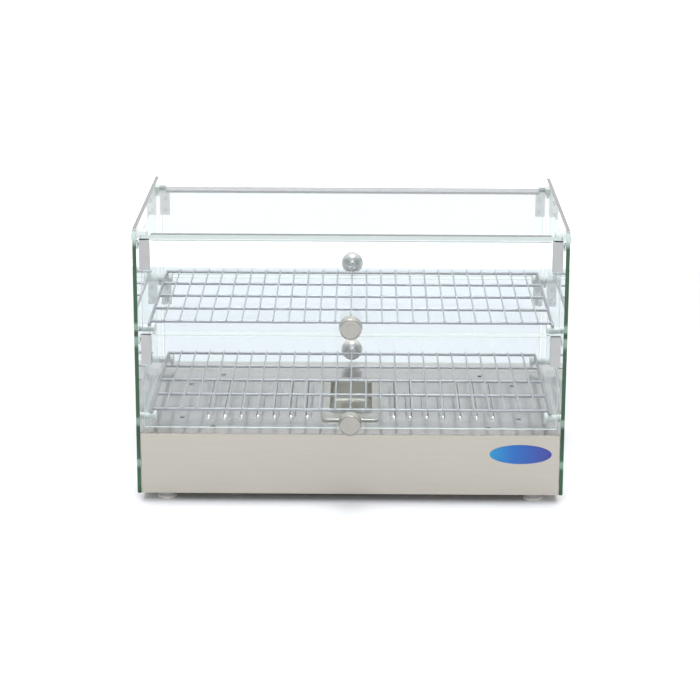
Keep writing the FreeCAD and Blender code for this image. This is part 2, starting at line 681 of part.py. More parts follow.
def thermostat_bulb():
    """Sensing bulb beside the water tray and the capillary that leads to it."""
    y_end = REAR_PANEL_Y - SHEET - 26.1
    bulb_x, bulb_z = 44.0, 76.0
    bulb = rod_y(bulb_x, FRONT + 120, FRONT + 190, bulb_z, 3.0)
    path = [V(bulb_x, FRONT + 190, bulb_z), V(bulb_x, y_end - 10, bulb_z),
            V(DIAL_X - 12, y_end - 10, PANEL_Z + 12), V(DIAL_X - 12, y_end, PANEL_Z + 12)]
    return fuse([bulb, tube(path, 0.9, 4.0)])


def thermostat_knob():
    """Rear control knob with finger flutes and a pointer groove."""
    y0, y1 = REAR_PANEL_Y + 0.8, DIAL_TIP_Y
    skirt = rod_y(DIAL_X, y0, y0 + 4, PANEL_Z, 20.0)
    grip = Part.makeCone(16.5, 15.0, y1 - y0 - 4, V(DIAL_X, y0 + 4, PANEL_Z), Y_AXIS)
    knob = fuse([skirt, grip])
    knob = knob.makeFillet(1.2, [e for e in knob.Edges if e.BoundBox.YMin > y1 - 0.01])
    flutes = []
    for i in range(12):
        angle = math.radians(15 + 30 * i)
        x = DIAL_X + 18.0 * math.cos(angle)
        z = PANEL_Z + 18.0 * math.sin(angle)
        flutes.append(rod_y(x, y0 + 4, y1 + 1, z, 3.0))
    pointer = box(DIAL_X - 0.7, DIAL_X + 0.7, y1 - 0.8, y1 + 1, PANEL_Z + 4, PANEL_Z + 17)
    socket = rod_y(DIAL_X, y0 - 1, REAR_PANEL_Y + 2.4, PANEL_Z, 5.6)
    bore = rod_y(DIAL_X, y0 - 1, REAR_PANEL_Y + 12.5, PANEL_Z, 3.05)
    return knob.cut(Part.makeCompound(flutes + [pointer, socket, bore]))


def switch_housing():
    """Snap-in frame of the mains switch, with its terminals."""
    y1 = REAR_PANEL_Y
    bezel = box(SWITCH_X - 13, SWITCH_X + 13, y1, y1 + 2, PANEL_Z - 16, PANEL_Z + 16)
    bezel = bezel.makeFillet(1.5, edges_along(bezel, Y_AXIS))
    body = box(SWITCH_X - 10.4, SWITCH_X + 10.4, y1 - 20, y1, PANEL_Z - 13.9, PANEL_Z + 13.9)
    well = box(SWITCH_X - 9, SWITCH_X + 9, y1 - 9, y1 + 3, PANEL_Z - 12, PANEL_Z + 12)
    tabs = []
    for dx in (-6.0, 5.2):
        for z in (PANEL_Z - 8, PANEL_Z + 2):
            tabs.append(box(SWITCH_X + dx, SWITCH_X + dx + 0.8, y1 - 28, y1 - 20, z, z + 6))
    return fuse([bezel, body.cut(well)] + tabs).cut(well)


def rocker():
    """Rocker cap, tilted to its off position about its own axle."""
    half = 11.0
    y = ROCKER_PIVOT_Y
    verts = [V(0, y - 5, -7), V(0, y + 2.6, -half), V(0, y + 4.6, -half + 1), V(0, y + 2.6, 0),
             V(0, y + 4.6, half - 1), V(0, y + 2.6, half), V(0, y - 5, 7)]
    face = Part.Face(Part.makePolygon(verts + [verts[0]]))
    cap = face.extrude(V(17.4, 0, 0))
    cap.translate(V(SWITCH_X - 8.7, 0, PANEL_Z))
    cap.rotate(V(SWITCH_X, y, PANEL_Z), X_AXIS, -ROCKER_TILT)
    return cap


def pilot_lamp():
    """Round indicator: lens and bezel outside, body behind the panel."""
    y1 = REAR_PANEL_Y
    profile = [(0.0, -18.0), (4.4, -18.0), (4.4, 0.0), (6.5, 0.0), (6.5, 1.2), (5.0, 1.8)]
    profile += [(4.4, 3.6), (3.0, 4.8), (0.0, 5.2)]
    return revolve_y(profile, LAMP_X, y1, PANEL_Z, 1)


def cord_gland():
    """Bushing in the rear panel that the supply lead passes through."""
    inside = [(3.6, -9.0), (5.9, -9.0), (6.0, 0.0)]
    outside = [(9.0, 0.0), (9.0, 3.0), (7.0, 5.0), (6.4, 9.0), (3.6, 9.0)]
    return revolve_y(inside + outside, GLAND_X, REAR_PANEL_Y, GLAND_Z, 1)


def terminal_block():
    """Three-way terminal block on the bottom plate."""
    x0, y0, z0 = -168.0, 136.0, BASE_BOTTOM + 2 * SHEET
    block = box(x0, x0 + 36, y0, y0 + 16, z0, z0 + 14)
    ways = []
    for i in range(3):
        x = x0 + 6 + 12 * i
        ways.append(rod_z(x, y0 + 4.5, z0 + 8, z0 + 15, 2.0))
        ways.append(rod_z(x, y0 + 11.5, z0 + 8, z0 + 15, 2.0))
        ways.append(rod_y(x, y0 - 1, y0 + 17, z0 + 4.5, 1.8))
    return block.cut(Part.makeCompound(ways))


def wiring():
    """Insulated leads between the terminal block, the switch and the heaters."""
    z_block = BASE_BOTTOM + 2 * SHEET + 4.5
    y_rear = 134.0
    r = 1.4
    runs = []
    for i in range(3):
        x = -162.0 + 12 * i
        lift = 30.0 + 5 * i
        goal_x = (-HEATER_X[1], HEATER_X[0], SWITCH_X - 5.6)[i]
        goal_z = (HEATER_Z, HEATER_Z, PANEL_Z - 5)[i]
        goal_y = (HEATER_Y[1] + 17.2, HEATER_Y[1] + 17.2, REAR_PANEL_Y - 28.2)[i]
        route = [V(x, 135.8, z_block), V(x, y_rear - 4 - 3 * i, z_block), V(x, y_rear - 4 - 3 * i, lift),
                 V(goal_x, y_rear - 4 - 3 * i, lift), V(goal_x, y_rear - 4 - 3 * i, goal_z),
                 V(goal_x, goal_y, goal_z)]
        runs.append(tube(route, r, 2.6))
    return runs


# ---------------------------------------------------------------- assembly

def both_sides(shapes):
    """Right-hand parts and their mirror images."""
    return [mirror_x(s) for s in shapes] + list(shapes)


def build():
    """Write every node."""
    os.makedirs("parts", exist_ok=True)
    pane = side_glass()
    save("side_glass_right", pane)
    save("side_glass_left", mirror_x(pane))
    save("top_glass", top_glass())

    doors = (
        ("upper_front", FRONT_DOOR_Y, UPPER_DOOR_Z, -1),
        ("lower_front", FRONT_DOOR_Y, LOWER_DOOR_Z, -1),
        ("upper_rear", REAR_DOOR_Y, UPPER_DOOR_Z, 1),
        ("lower_rear", REAR_DOOR_Y, LOWER_DOOR_Z, 1),
    )
    for name, y, z_range, outward in doors:
        save(name + "_door_glass", door_glass(y, z_range))
        clamp = hinge_clamp(y, z_range[1])
        save(name + "_hinge_right", clamp)
        save(name + "_hinge_left", mirror_x(clamp))
        save(name + "_hinge_screws", both_sides(hinge_screws(y, z_range[1], -outward)))
        z_knob = z_range[0] + KNOB_ABOVE_EDGE
        save(name + "_door_knob", door_knob(y + outward * GLASS / 2, z_knob, outward))
        save(name + "_knob_screw", knob_screw(y - outward * GLASS / 2, z_knob, -outward))

    save("pivot_bushes", both_sides([pivot_bush(y, z) for y, z in pivot_points()]))
    save("roof_clamps_front", both_sides([corner_clamp(CLAMP_BOLT_Y[0], 1)]))
    save("roof_clamps_rear", both_sides([corner_clamp(CLAMP_BOLT_Y[1], -1)]))
    save("roof_clamp_bolts", both_sides([cap_bolt(y, z) for y, z in clamp_points()]))
    save("front_top_rail", roof_rail(FRONT_RAIL_HALF_W, FRONT_RAIL_Y, FRONT_RAIL_Z))
    save("rear_top_rail", rear_top_rail())

    for name, z in SHELF_Z.items():
        save(name + "_shelf", wire_shelf(z))
    save("shelf_pegs", both_sides([shelf_peg(y, z) for y, z in peg_points()]))
    save("shelf_peg_screws", both_sides([flush_screw(y, z, 13.0) for y, z in peg_points()]))

    save("base_housing", base_housing())
    save("rear_panel", rear_panel())
    save("bottom_plate", bottom_plate())
    save("deck", deck())
    save("deck_screws", [deck_screw(x, y) for x, y in deck_screw_points()])
    save("base_screws", both_sides([flush_screw(y, z, 12.0) for y, z in base_points()]))
    save("water_tray", water_tray())
    save("badge", badge())
    save("feet", [foot(x, y) for x, y in foot_points()])
    save("foot_screws", [foot_screw(x, y) for x, y in foot_points()])

    heater = heating_element()
    save("heating_element_right", heater)
    save("heating_element_left", mirror_x(heater))
    brackets = [heater_bracket(HEATER_Y[0] + 30), heater_bracket(HEATER_Y[1] - 12)]
    save("heater_brackets", both_sides(brackets))
    save("heat_shield", heat_shield())
    save("thermostat", thermostat())
    save("thermostat_bulb", thermostat_bulb())
    save("thermostat_knob", thermostat_knob())
    save("switch_housing", switch_housing())
    save("switch_rocker", rocker())
    save("pilot_lamp", pilot_lamp())
    save("cord_gland", cord_gland())
    save("terminal_block", terminal_block())
    save("internal_wiring", wiring())


build()
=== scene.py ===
import math

import bmesh
import bpy
from mathutils import Matrix, Vector


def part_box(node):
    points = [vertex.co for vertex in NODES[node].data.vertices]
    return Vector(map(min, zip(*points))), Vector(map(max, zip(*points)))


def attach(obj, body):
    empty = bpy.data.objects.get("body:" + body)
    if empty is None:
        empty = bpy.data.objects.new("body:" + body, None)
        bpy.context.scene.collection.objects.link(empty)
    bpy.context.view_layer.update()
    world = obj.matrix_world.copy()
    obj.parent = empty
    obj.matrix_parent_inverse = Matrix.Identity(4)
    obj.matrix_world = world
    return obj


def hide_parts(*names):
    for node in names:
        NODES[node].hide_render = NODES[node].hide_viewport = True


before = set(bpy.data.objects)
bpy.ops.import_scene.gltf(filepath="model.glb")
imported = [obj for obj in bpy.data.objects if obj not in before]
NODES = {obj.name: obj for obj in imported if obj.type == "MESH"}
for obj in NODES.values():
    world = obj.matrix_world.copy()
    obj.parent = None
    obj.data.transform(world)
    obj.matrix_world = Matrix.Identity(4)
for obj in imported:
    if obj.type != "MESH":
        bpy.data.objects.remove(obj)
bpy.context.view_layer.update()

SIDES = (-1, 1)
MM = 0.001


# ---------------------------------------------------------------- materials

WAVE_PERIOD = 0.314  # spacing of the wave texture's rings at a scale of 1
MIDDLE = 0.05  # half the depth over which the front looks give way to the rear ones
EDGE_RAMP = 0.4  # height in metres at the top end of a pane edge's colour ramp


def set_stops(node, stops):
    """Give a colour ramp its (position, (r, g, b)) stops."""
    elements = node.color_ramp.elements
    while len(elements) < len(stops):
        elements.new(0.5)
    for element, (position, colour) in zip(elements, stops):
        element.position = position
        element.color = (*colour, 1.0)


class Shader:
    """A node material round one Principled shader, with short procedural helpers."""

    def __init__(self, name, **plain):
        self.material = bpy.data.materials.new(name)
        self.material.use_nodes = True
        self.tree = self.material.node_tree
        self.bsdf = self.tree.nodes["Principled BSDF"]
        self.place = self.tree.nodes.new("ShaderNodeTexCoord").outputs["Object"]
        for key, value in plain.items():
            socket = self.bsdf.inputs[key.replace("_", " ")]
            socket.default_value = (*value, 1.0) if isinstance(value, tuple) else value

    def link(self, source, socket):
        self.tree.links.new(source, self.bsdf.inputs[socket])

    def node(self, kind, inputs=(), **settings):
        node = self.tree.nodes.new(kind)
        for key, value in settings.items():
            setattr(node, key, value)
        for key, value in dict(inputs).items():
            if isinstance(value, bpy.types.NodeSocket):
                self.tree.links.new(value, node.inputs[key])
            else:
                node.inputs[key].default_value = value
        return node

    def stretch(self, scale):
        """Object coordinates scaled by (x, y, z), so that grain can run along one axis."""
        node = self.node("ShaderNodeMapping", {"Vector": self.place, "Scale": scale})
        return node.outputs["Vector"]

    def noise(self, scale, detail=3.0, rough=0.5):
        """Noise from 0 to 1, with its grain size set per axis."""
        inputs = {"Vector": self.stretch(scale), "Scale": 1.0, "Detail": detail, "Roughness": rough}
        return self.node("ShaderNodeTexNoise", inputs).outputs["Fac"]

    def cells(self, scale):
        """Random value per cell, for crystals and granules."""
        node = self.node("ShaderNodeTexVoronoi", {"Vector": self.stretch(scale), "Scale": 1.0})
        return self.node("ShaderNodeSeparateColor", {0: node.outputs["Color"]}).outputs[0]

    def rings(self, pitch):
        """Concentric lathe rings about the Y axis through the object's own zero."""
        inputs = {"Vector": self.place, "Scale": WAVE_PERIOD / pitch, "Distortion": 0.0}
        wave = self.node("ShaderNodeTexWave", inputs, wave_type="RINGS", rings_direction="Y")
        return wave.outputs["Fac"]

    def along(self, axis, start, end):
        """0 at start and 1 at end, in metres along one axis."""
        split = self.node("ShaderNodeSeparateXYZ", {0: self.place}).outputs[axis]
        return self.span(split, start, end, 0.0, 1.0)

    def span(self, value, low, high, new_low, new_high):
        inputs = {"Value": value, "From Min": low, "From Max": high, "To Min": new_low, "To Max": new_high}
        return self.node("ShaderNodeMapRange", inputs).outputs["Result"]

    def compute(self, operation, *values):
        """Result of a Math node."""
        return self.node("ShaderNodeMath", dict(enumerate(values)), operation=operation).outputs[0]

    def facing(self, axis, low, high, both=True):
        """0 to 1 as the part of the surface normal along an axis goes from low to high.

        With both, it takes no account of the sign.
        """
        normal = self.node("ShaderNodeTexCoord").outputs["Normal"]
        part = self.node("ShaderNodeSeparateXYZ", {0: normal}).outputs[axis]
        if both:
            part = self.compute("ABSOLUTE", part)
        return self.span(part, low, high, 0.0, 1.0)

    def ramp(self, value, *stops):
        """Colour from (position, (r, g, b)) stops."""
        node = self.node("ShaderNodeValToRGB", {0: value})
        set_stops(node, stops)
        return node.outputs["Color"]

    def blend(self, factor, first, second):
        """Mix two colour outputs."""
        node = self.tree.nodes.new("ShaderNodeMix")
        node.data_type = "RGBA"
        if isinstance(factor, bpy.types.NodeSocket):
            self.tree.links.new(factor, node.inputs[0])
        else:
            node.inputs[0].default_value = factor
        self.tree.links.new(first, node.inputs[6])
        self.tree.links.new(second, node.inputs[7])
        return node.outputs[2]

    def bump(self, height, strength, depth):
        """Surface relief of a given depth in metres."""
        inputs = {"Height": height, "Strength": strength, "Distance": depth}
        self.link(self.node("ShaderNodeBump", inputs).outputs["Normal"], "Normal")


def scaled(colour, factor):
    return tuple(min(1.0, c * factor) for c in colour)


def brushed(name, colour, grain, low, high):
    """Satin sheet metal with painted shade on its upward bends; grain along the axis with the small scale.
    """
    shader = Shader(name, Metallic=1.0)
    fine = shader.noise(grain, 4.0, 0.65)
    cloud = shader.noise((9.0, 9.0, 9.0), 3.0, 0.5)
    worn = shader.ramp(fine, (0.3, scaled(colour, 0.9)), (0.7, scaled(colour, 1.06)))
    soiled = shader.ramp(cloud, (0.35, scaled(colour, 0.97)), (0.65, scaled(colour, 1.02)))
    # bend: painted shade, half as bright, for the faces that look upward
    bend = shader.ramp(fine, (0.3, scaled(colour, 0.5)), (0.7, scaled(colour, 0.56)))
    upward = shader.facing(2, 0.2, 0.5, both=False)
    shader.link(shader.blend(upward, shader.blend(0.35, worn, soiled), bend), "Base Color")
    shader.link(shader.span(fine, 0.3, 0.7, low, high), "Roughness")
    shader.bump(fine, 0.4, 0.00004)
    return shader.material


def polished(name, colour, low, high, relief=0.25, size=60.0, metallic=1.0):
    """Bright metal with faint clouding and handling marks in its gloss."""
    shader = Shader(name, Metallic=metallic)
    cloud = shader.noise((size, size, size), 4.0, 0.55)
    shader.link(shader.ramp(cloud, (0.3, scaled(colour, 0.94)), (0.7, scaled(colour, 1.03))), "Base Color")
    shader.link(shader.span(cloud, 0.3, 0.7, low, high), "Roughness")
    shader.bump(cloud, relief, 0.00003)
    return shader.material


def moulded(name, colour, low, high, grain=900.0, **plain):
    """Plastic or rubber with a fine moulded grain."""
    shader = Shader(name, **plain)
    speckle = shader.noise((grain, grain, grain), 3.0, 0.6)
    cloud = shader.noise((40.0, 40.0, 40.0), 3.0, 0.5)
    shader.link(shader.ramp(cloud, (0.3, scaled(colour, 0.9)), (0.7, scaled(colour, 1.08))), "Base Color")
    shader.link(shader.span(speckle, 0.3, 0.7, low, high), "Roughness")
    shader.bump(speckle, 0.35, 0.00005)
    return shader.material


def clear_glass(name, across, level_edge, *upright_stops, ends=None):
    """Float glass: clear faces with faint smears, frosted ground edges, green in its depth.

    across is the axis number through the pane. Its edges take one colour where they face up or
    down, and (height, colour) stops, in metres, elsewhere. ends, if given, is the colour of the
    edges that face left and right.
    """
    shader = Shader(name, IOR=1.5)
    normal = shader.node("ShaderNodeTexCoord").outputs["Normal"]
    facing = shader.node("ShaderNodeSeparateXYZ", {0: normal}).outputs
    flat = shader.compute("ABSOLUTE", facing[across])
    edge = shader.span(flat, 0.9, 0.95, 1.0, 0.0)
    smear = shader.noise((14.0, 14.0, 5.0), 4.0, 0.6)
    clear = shader.ramp(smear, (0.4, (0.94, 0.957, 0.988)), (0.75, (0.93, 0.948, 0.982)))
    level = shader.compute("ABSOLUTE", facing[2])
    grit = shader.noise((700.0, 700.0, 700.0), 2.0, 0.5)
    flat_frost = shader.ramp(grit, (0.3, scaled(level_edge, 0.96)), (0.7, scaled(level_edge, 1.04)))
    stops = [(height / EDGE_RAMP, colour) for height, colour in upright_stops]
    upright_frost = shader.ramp(shader.along(2, 0.0, EDGE_RAMP), *stops)
    if ends:
        end_frost = shader.ramp(grit, (0.3, scaled(ends, 0.96)), (0.7, scaled(ends, 1.04)))
        sideways = shader.compute("ABSOLUTE", facing[0])
        upright_frost = shader.blend(shader.span(sideways, 0.5, 0.9, 0.0, 1.0), upright_frost, end_frost)
    frost = shader.blend(shader.span(level, 0.3, 0.8, 0.0, 1.0), upright_frost, flat_frost)
    shader.link(shader.blend(edge, clear, frost), "Base Color")
    shader.link(shader.span(edge, 0.0, 1.0, 1.0, 0.25), "Transmission Weight")
    rough = shader.span(grit, 0.3, 0.7, 0.12, 0.2)
    product = shader.compute("MULTIPLY", edge, rough)
    haze = shader.span(smear, 0.62, 0.95, 0.0, 0.012)
    total = shader.compute("ADD", product, haze)
    shader.link(total, "Roughness")
    depth = shader.node("ShaderNodeVolumeAbsorption", {"Color": (0.23, 0.67, 0.34, 1.0), "Density": 10.0})
    output = shader.tree.nodes["Material Output"]
    shader.tree.links.new(depth.outputs["Volume"], output.inputs["Volume"])
    return shader.material


def anodised_rail(name):
    """Fine-drawn light bar with painted shade on its narrow faces. The front bar is grey, with a painted
    highlight on its pale, not metallic front face.
    """
    shader = Shader(name)
    grain = shader.noise((25.0, 900.0, 900.0), 4.0, 0.65)
    broad = shader.ramp(grain, (0.3, (0.47, 0.46, 0.48)), (0.7, (0.53, 0.52, 0.54)))
    painted_shade = shader.ramp(grain, (0.3, (0.012, 0.011, 0.012)), (0.7, (0.02, 0.018, 0.02)))
    grey = shader.ramp(grain, (0.3, (0.16, 0.155, 0.16)), (0.7, (0.19, 0.185, 0.19)))
    white = shader.ramp(grain, (0.3, (0.88, 0.885, 0.88)), (0.7, (0.92, 0.925, 0.92)))
    # The narrow faces take painted shade on the rear bar and a painted highlight on the front bar.
    narrow = shader.facing(1, 0.4, 0.8)
    rear = shader.blend(narrow, broad, painted_shade)
    front = shader.blend(narrow, grey, white)
    shader.link(shader.blend(shader.along(1, -MIDDLE, MIDDLE), front, rear), "Base Color")
    ahead = shader.along(1, MIDDLE, -MIDDLE)
    # painted marks the front bar's front face, which loses its metal for the painted highlight.
    painted = shader.compute("MULTIPLY", narrow, ahead)
    shader.link(shader.span(painted, 0.0, 1.0, 0.6, 0.0), "Metallic")
    shader.link(shader.span(grain, 0.3, 0.7, 0.5, 0.62), "Roughness")
    return shader.material


def hinge_plate(name, colour):
    """Satin folded plate with painted shade on the bend on top. The rear ones are given a colour half again
    as bright.
    """
    shader = Shader(name, Metallic=1.0)
    grain = shader.noise((1500.0, 1500.0, 60.0), 4.0, 0.65)
    cloud = shader.noise((30.0, 30.0, 30.0), 3.0, 0.5)
    front = shader.ramp(cloud, (0.35, scaled(colour, 0.97)), (0.65, scaled(colour, 1.03)))
    rear = shader.ramp(cloud, (0.35, scaled(colour, 1.46)), (0.65, scaled(colour, 1.54)))
    worn = shader.blend(shader.along(1, -MIDDLE, MIDDLE), front, rear)
    # bend_shade: painted shade for the faces that look upward
    bend_shade = shader.ramp(cloud, (0.35, (0.1, 0.1, 0.1)), (0.65, (0.14, 0.14, 0.14)))
    shader.link(shader.blend(shader.facing(2, 0.5, 0.9, both=False), worn, bend_shade), "Base Color")
    shader.link(shader.span(grain, 0.3, 0.7, 0.36, 0.46), "Roughness")
    shader.bump(grain, 0.15, 0.00003)
    return shader.material


def wire_chrome(name, low_colour, high_colour):
    """Chromed wire. The cross wires, above the long ones, are painted brighter, as a painted reflection of
    the sky.
    """
    shader = Shader(name, Metallic=1.0)
    height = shader.along(2, 1.5 * MM, 2.6 * MM)
    shader.link(shader.ramp(height, (0.2, low_colour), (0.8, high_colour)), "Base Color")
    cloud = shader.noise((150.0, 150.0, 150.0), 4.0, 0.55)
    shader.link(shader.span(cloud, 0.3, 0.7, 0.46, 0.54), "Roughness")
    shader.bump(cloud, 0.15, 0.00003)
    return shader.material


def turned_metal(name, colour):
    """Lathe-turned nickel: fine rings about the knob's own axis, and a painted warm highlight on its upper
    side.
    """
    shader = Shader(name, Metallic=1.0)
    ring = shader.rings(0.0008)
    cloud = shader.noise((120.0, 120.0, 120.0), 3.0, 0.5)
    satin = shader.ramp(cloud, (0.3, scaled(colour, 0.95)), (0.7, scaled(colour, 1.04)))
    # bright: a painted warm highlight for the faces that look upward
    bright = shader.ramp(cloud, (0.3, (0.8, 0.74, 0.64)), (0.7, (0.88, 0.82, 0.72)))
    shader.link(shader.blend(shader.facing(2, 0.45, 0.95, both=False), satin, bright), "Base Color")
    shader.link(shader.span(ring, 0.0, 1.0, 0.2, 0.25), "Roughness")
    shader.bump(ring, 0.04, 0.00003)
    return shader.material


def deck_screw_steel():
    """Bright domed screw head, with painted shade on the side towards the front."""
    shader = Shader("deck_screw_look", Metallic=1.0)
    cloud = shader.noise((400.0, 400.0, 400.0), 3.0, 0.5)
    bright = shader.ramp(cloud, (0.3, (0.56, 0.56, 0.55)), (0.7, (0.62, 0.62, 0.61)))
    painted_shade = shader.ramp(cloud, (0.3, (0.07, 0.07, 0.07)), (0.7, (0.1, 0.1, 0.1)))
    shader.link(shader.blend(shader.facing(1, -0.15, -0.6, both=False), bright, painted_shade), "Base Color")
    shader.link(shader.span(cloud, 0.3, 0.7, 0.25, 0.35), "Roughness")
    return shader.material


def badge_enamel():
    """Blue enamel, light at the left end and violet at the right."""
    low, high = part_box("badge")
    shader = Shader("badge_enamel", Specular_IOR_Level=0.25, Roughness=0.3)
    fade = shader.along(0, low.x, high.x)
    blue = shader.ramp(fade, (0.0, (0.035, 0.31, 0.6)), (0.4, (0.03, 0.15, 0.5)), (1.0, (0.065, 0.06, 0.32)))
    fleck = shader.noise((2500.0, 2500.0, 2500.0), 2.0, 0.5)
    bright = shader.ramp(fleck, (0.35, (0.04, 0.2, 0.5)), (0.8, (0.2, 0.42, 0.75)))
    amount = shader.span(fleck, 0.45, 0.8, 0.02, 0.14)
    shader.link(shader.blend(amount, blue, bright), "Base Color")
    shader.bump(fleck, 0.06, 0.00003)
    return shader.material


LOUVRE_FIRST_X = 57.5 * MM
LOUVRE_PITCH = 21.7 * MM
LOUVRE_LAST_X = LOUVRE_FIRST_X + 6 * LOUVRE_PITCH
LOUVRE_START = 76.5 * MM
LOUVRE_END = 235.5 * MM


def deck_steel(colour, low, high):
    """Bright deck sheet: painted shade on its front bend, and a stripe of painted shade at the foot of each
    louvre's mouth.
    """
    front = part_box("deck")[0].y
    shader = Shader("polished_stainless_look", Metallic=1.0)
    cloud = shader.noise((25.0, 25.0, 25.0), 4.0, 0.55)
    # Mask of the stripe of painted shade beside each louvre's mouth, cut off past the last louvre and at the
    # louvres' ends.
    across = shader.node("ShaderNodeSeparateXYZ", {0: shader.place}).outputs[0]
    out = shader.compute("ABSOLUTE", across)
    from_first = shader.compute("SUBTRACT", out, LOUVRE_FIRST_X)
    beyond = shader.compute("FLOORED_MODULO", from_first, LOUVRE_PITCH)
    line = shader.span(beyond, 1.5 * MM, 2.1 * MM, 1.0, 0.0)
    for limit in (shader.span(out, LOUVRE_LAST_X + 4 * MM, LOUVRE_LAST_X + 5 * MM, 1.0, 0.0),
                  shader.along(1, front + LOUVRE_START - 4 * MM, front + LOUVRE_START),
                  shader.along(1, front + LOUVRE_END + 2 * MM, front + LOUVRE_END)):
        line = shader.compute("MULTIPLY", line, limit)
    bright = shader.ramp(cloud, (0.3, scaled(colour, 0.94)), (0.7, scaled(colour, 1.03)))
    painted_shade = shader.ramp(cloud, (0.3, (0.06, 0.06, 0.06)), (0.7, (0.09, 0.088, 0.085)))
    bend_shade = shader.ramp(cloud, (0.3, (0.32, 0.295, 0.265)), (0.7, (0.36, 0.33, 0.3)))
    sheet = shader.blend(line, bright, painted_shade)
    # The front bend takes painted shade.
    shader.link(shader.blend(shader.along(1, front + 2.2 * MM, front + 0.9 * MM), sheet, bend_shade), "Base Color")
    shader.link(shader.span(cloud, 0.3, 0.7, low, high), "Roughness")
    shader.bump(cloud, 0.12, 0.00003)
    return shader.material


def galvanised():
    """Zinc-coated sheet with spangle."""
    shader = Shader("galvanised_look", Metallic=1.0)
    crystal = shader.cells((160.0, 160.0, 160.0))
    shader.link(shader.ramp(crystal, (0.0, (0.42, 0.44, 0.46)), (1.0, (0.62, 0.64, 0.66))), "Base Color")
    shader.link(shader.span(crystal, 0.0, 1.0, 0.28, 0.5), "Roughness")
    return shader.material


def lens():
    """Amber lens of the pilot lamp."""
    shader = Shader("lamp_lens_look", Roughness=0.12, Transmission_Weight=0.6, IOR=1.49, Coat_Weight=0.5)
    cloud = shader.noise((300.0, 300.0, 300.0), 3.0, 0.5)
    shader.link(shader.ramp(cloud, (0.3, (0.75, 0.14, 0.02)), (0.7, (0.9, 0.26, 0.04))), "Base Color")
    shader.bump(cloud, 0.1, 0.00003)
    return shader.material


def foot_rubber():
    """Pale moulded foot, with painted shade in grey above its sole."""
    shader = Shader("foot_rubber_look")
    cloud = shader.noise((60.0, 60.0, 60.0), 3.0, 0.5)
    sole = shader.ramp(cloud, (0.3, (0.84, 0.78, 0.7)), (0.7, (0.9, 0.85, 0.78)))
    # upper: painted shade on the foot above its sole
    upper = shader.ramp(cloud, (0.3, (0.36, 0.35, 0.33)), (0.7, (0.42, 0.41, 0.39)))
    shader.link(shader.blend(shader.along(2, 2.0 * MM, 4.5 * MM), sole, upper), "Base Color")
    speckle = shader.noise((900.0, 900.0, 900.0), 3.0, 0.6)
    shader.link(shader.span(speckle, 0.3, 0.7, 0.4, 0.55), "Roughness")
    shader.bump(speckle, 0.35, 0.00005)
    return shader.material


STEEL = (0.505, 0.475, 0.42)
LOOKS = {
    "hinge_steel": hinge_plate("hinge_steel_look", (0.48, 0.48, 0.475)),
    "screw_steel": polished("screw_steel_look", (0.52, 0.52, 0.51), 0.24, 0.32, 0.06, 80.0),
    "polished_knob": turned_metal("polished_knob_look", (0.38, 0.364, 0.335)),
    "bush_plastic": moulded("bush_plastic_look", (0.72, 0.76, 0.72), 0.35, 0.5, Subsurface_Weight=0.1),
    "clamp_metal": polished("clamp_metal_look", (0.76, 0.81, 0.78), 0.38, 0.46, 0.06, 80.0, 0.25),
    "rail_steel": anodised_rail("rail_steel_look"),
    "chromed_wire": wire_chrome("chromed_wire_look", (0.36, 0.365, 0.38), (0.52, 0.53, 0.54)),
    "peg_metal": polished("peg_metal_look", (0.58, 0.61, 0.585), 0.42, 0.5, 0.06, 80.0, 0.3),
    "satin_stainless": brushed("satin_stainless_look", STEEL, (14.0, 1800.0, 1800.0), 0.3, 0.42),
    "polished_stainless": deck_steel((0.65, 0.625, 0.6), 0.19, 0.26),
    "tray_stainless": polished("tray_stainless_look", (0.61, 0.585, 0.515), 0.26, 0.36, 0.12, 40.0),
    "badge_plastic": badge_enamel(),
    "foot_rubber": foot_rubber(),
    "heater_steel": brushed("heater_steel_look", (0.2, 0.18, 0.16), (300.0, 300.0, 300.0), 0.4, 0.6),
    "galvanised_sheet": galvanised(),
    "thermostat_body": moulded("thermostat_body_look", (0.55, 0.52, 0.45), 0.4, 0.6),
    "capillary_copper": polished("capillary_copper_look", (0.7, 0.36, 0.24), 0.2, 0.35, size=300.0),
    "knob_plastic": moulded("knob_plastic_look", (0.02, 0.02, 0.022), 0.35, 0.5),
    "switch_plastic": moulded("switch_plastic_look", (0.025, 0.025, 0.027), 0.3, 0.45),
    "rocker_plastic": moulded("rocker_plastic_look", (0.03, 0.03, 0.033), 0.22, 0.34),
    "lamp_lens": lens(),
    "gland_plastic": moulded("gland_plastic_look", (0.03, 0.03, 0.03), 0.4, 0.6),
    "terminal_plastic": moulded("terminal_plastic_look", (0.7, 0.66, 0.55), 0.35, 0.5),
    "wire_insulation": moulded("wire_insulation_look", (0.5, 0.48, 0.44), 0.45, 0.65, grain=1600.0),
}

# Painted light and shade up the edge of a side glass: green, with painted light beside each fitting that
# lets light in, painted shade in the deeper green bands, and painted milky light near the top.
GREEN = (0.032, 0.12, 0.05)
SHADED_GREEN = (0.018, 0.075, 0.03)
LIT_GREEN = (0.3, 0.46, 0.36)
LIT_MILKY = (0.72, 0.84, 0.77)
PALE_EDGE = (0.76, 0.85, 0.81)
SIDE_EDGE = (
    (0.012, SHADED_GREEN), (0.02, GREEN), (0.045, GREEN), (0.049, LIT_GREEN), (0.055, LIT_GREEN),
    (0.058, GREEN), (0.09, SHADED_GREEN), (0.1, SHADED_GREEN), (0.105, LIT_GREEN), (0.111, LIT_GREEN),
    (0.114, GREEN),
    (0.205, GREEN), (0.211, LIT_GREEN), (0.219, LIT_GREEN), (0.222, SHADED_GREEN), (0.227, SHADED_GREEN),
    (0.23, LIT_GREEN), (0.236, LIT_GREEN), (0.24, GREEN), (0.337, GREEN), (0.347, LIT_MILKY), (0.361, LIT_MILKY),
)
